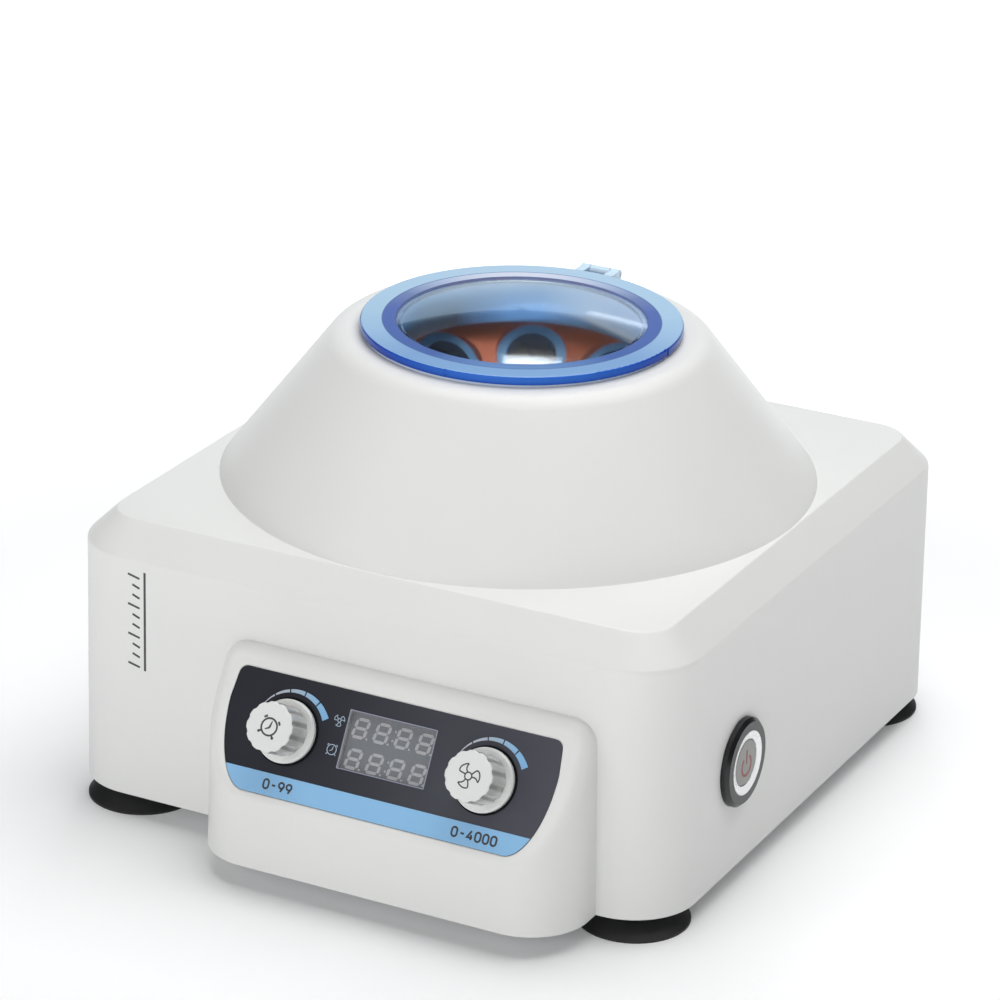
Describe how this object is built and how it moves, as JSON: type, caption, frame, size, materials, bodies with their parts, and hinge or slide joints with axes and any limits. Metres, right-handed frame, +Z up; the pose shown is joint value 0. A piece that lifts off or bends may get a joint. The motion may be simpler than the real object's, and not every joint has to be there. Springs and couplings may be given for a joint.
{
  "type": "laboratory centrifuge",
  "caption": "Benchtop centrifuge with a square box, a round cone on top, a see-through domed lid, a front console with knobs and display, and suction feet.",
  "frame": {"origin": "on the floor, straight below the rotor axis", "axes": "+Z up, -Y towards the console, +X towards the power switch"},
  "size_m": [0.2545, 0.2893, 0.182],
  "materials": {
    "housing_shell": "moulded off-white, fine satin",
    "base_sheet": "zinc coated",
    "screw_steel": "zinc plated",
    "foot_rubber": "matte",
    "bowl_steel": "spun",
    "seal_rubber": "matte",
    "motor_paint": "semi-gloss",
    "magnet": "sintered",
    "armature": "varnished laminations",
    "bearing_steel": "ground",
    "rotor_shell": "copper-brown anodised, satin",
    "sleeve_plastic": "moulded, slightly translucent",
    "nut_brass": "machined",
    "lid_blue": "clear blue tint, polished",
    "lid_clear": "polished",
    "lid_seal": "silicone, translucent",
    "hinge_blue": "polished",
    "overlay_film": "fine-grained membrane",
    "display_glass": "smoked filter",
    "display_module": "grey face",
    "circuit_board": "solder mask",
    "encoder_metal": "satin",
    "contact_plastic": "moulded",
    "knob_plastic": "semi-gloss",
    "bezel_plastic": "semi-gloss",
    "switch_metal": "turned, bright",
    "barrel_plastic": "moulded",
    "button_metal": "satin",
    "inlet_plastic": "moulded",
    "component_plastic": "moulded",
    "lead_sleeve": "flexible sleeve"
  },
  "bodies": {
    "housing": {"upper_housing": "housing_shell", "base_plate": "base_sheet", "base_screws": "screw_steel", "suction_feet": "foot_rubber", "foot_screws": "screw_steel", "chamber_bowl": "bowl_steel", "bowl_gasket": "seal_rubber", "bowl_standoffs": "screw_steel", "bowl_screws": "screw_steel", "shaft_seal": "seal_rubber", "motor_standoffs": "screw_steel", "motor_dampers": "foot_rubber", "motor_plate": "base_sheet", "motor_bolts": "screw_steel", "motor_can": "motor_paint", "motor_end_cap": "motor_paint", "motor_magnets": "magnet", "motor_bearings": "bearing_steel", "motor_screws": "screw_steel", "hinge_bracket": "hinge_blue", "hinge_pin": "screw_steel", "hinge_screws": "screw_steel", "control_overlay": "overlay_film", "display_window": "display_glass", "digit_displays": "display_module", "display_board": "circuit_board", "board_screws": "screw_steel", "encoder_cases": "encoder_metal", "encoder_nuts": "screw_steel", "switch_bezel": "bezel_plastic", "switch_ring": "switch_metal", "switch_barrel": "barrel_plastic", "switch_nut": "barrel_plastic", "power_inlet": "inlet_plastic", "inlet_pins": "nut_brass", "inlet_screws": "screw_steel", "board_posts": "nut_brass", "supply_board": "circuit_board", "control_board": "circuit_board", "board_components": "component_plastic", "inlet_leads": "lead_sleeve", "switch_leads": "lead_sleeve", "motor_leads": "lead_sleeve", "display_cable": "lead_sleeve"},
    "lid": {"lid_ring": "lid_blue", "lid_window": "lid_clear", "lid_gasket": "lid_seal"},
    "rotor_head": {"rotor": "rotor_shell", "tube_sleeves": "sleeve_plastic", "rotor_washer": "screw_steel", "rotor_nut": "nut_brass", "drive_shaft": "bearing_steel", "motor_armature": "armature"},
    "time_plunger": {"time_carrier": "contact_plastic"},
    "time_dial": {"time_shaft": "encoder_metal", "time_knob": "knob_plastic"},
    "speed_plunger": {"speed_carrier": "contact_plastic"},
    "speed_dial": {"speed_shaft": "encoder_metal", "speed_knob": "knob_plastic"},
    "power_key": {"switch_button": "button_metal"}
  },
  "joints": [
    {"name": "lid_hinge", "type": "hinge", "parent": "housing", "child": "lid", "pos_m": [0, 0.0665, 0.1756], "axis": [-1, 0, 0], "range_deg": [0, 105]},
    {"name": "rotor_spin", "type": "hinge", "parent": "housing", "child": "rotor_head", "pos_m": [0, 0, 0.11], "axis": [0, 0, 1], "continuous": true},
    {"name": "time_press", "type": "slide", "parent": "housing", "child": "time_plunger", "axis": [0, 0.8732, -0.4874], "range_m": [0, 0.0005], "stiffness_N_per_m": 4000},
    {"name": "time_turn", "type": "hinge", "parent": "time_plunger", "child": "time_dial", "pos_m": [-0.0189, -0.14218, 0.06037], "axis": [0, -0.8732, 0.4874], "continuous": true},
    {"name": "speed_press", "type": "slide", "parent": "housing", "child": "speed_plunger", "axis": [0, 0.8732, -0.4874], "range_m": [0, 0.0005], "stiffness_N_per_m": 4000},
    {"name": "speed_turn", "type": "hinge", "parent": "speed_plunger", "child": "speed_dial", "pos_m": [0.0618, -0.14218, 0.06037], "axis": [0, -0.8732, 0.4874], "continuous": true},
    {"name": "power_press", "type": "slide", "parent": "housing", "child": "power_key", "axis": [-1, 0, 0], "range_m": [0, 0.0025], "stiffness_N_per_m": 800}
  ]
}
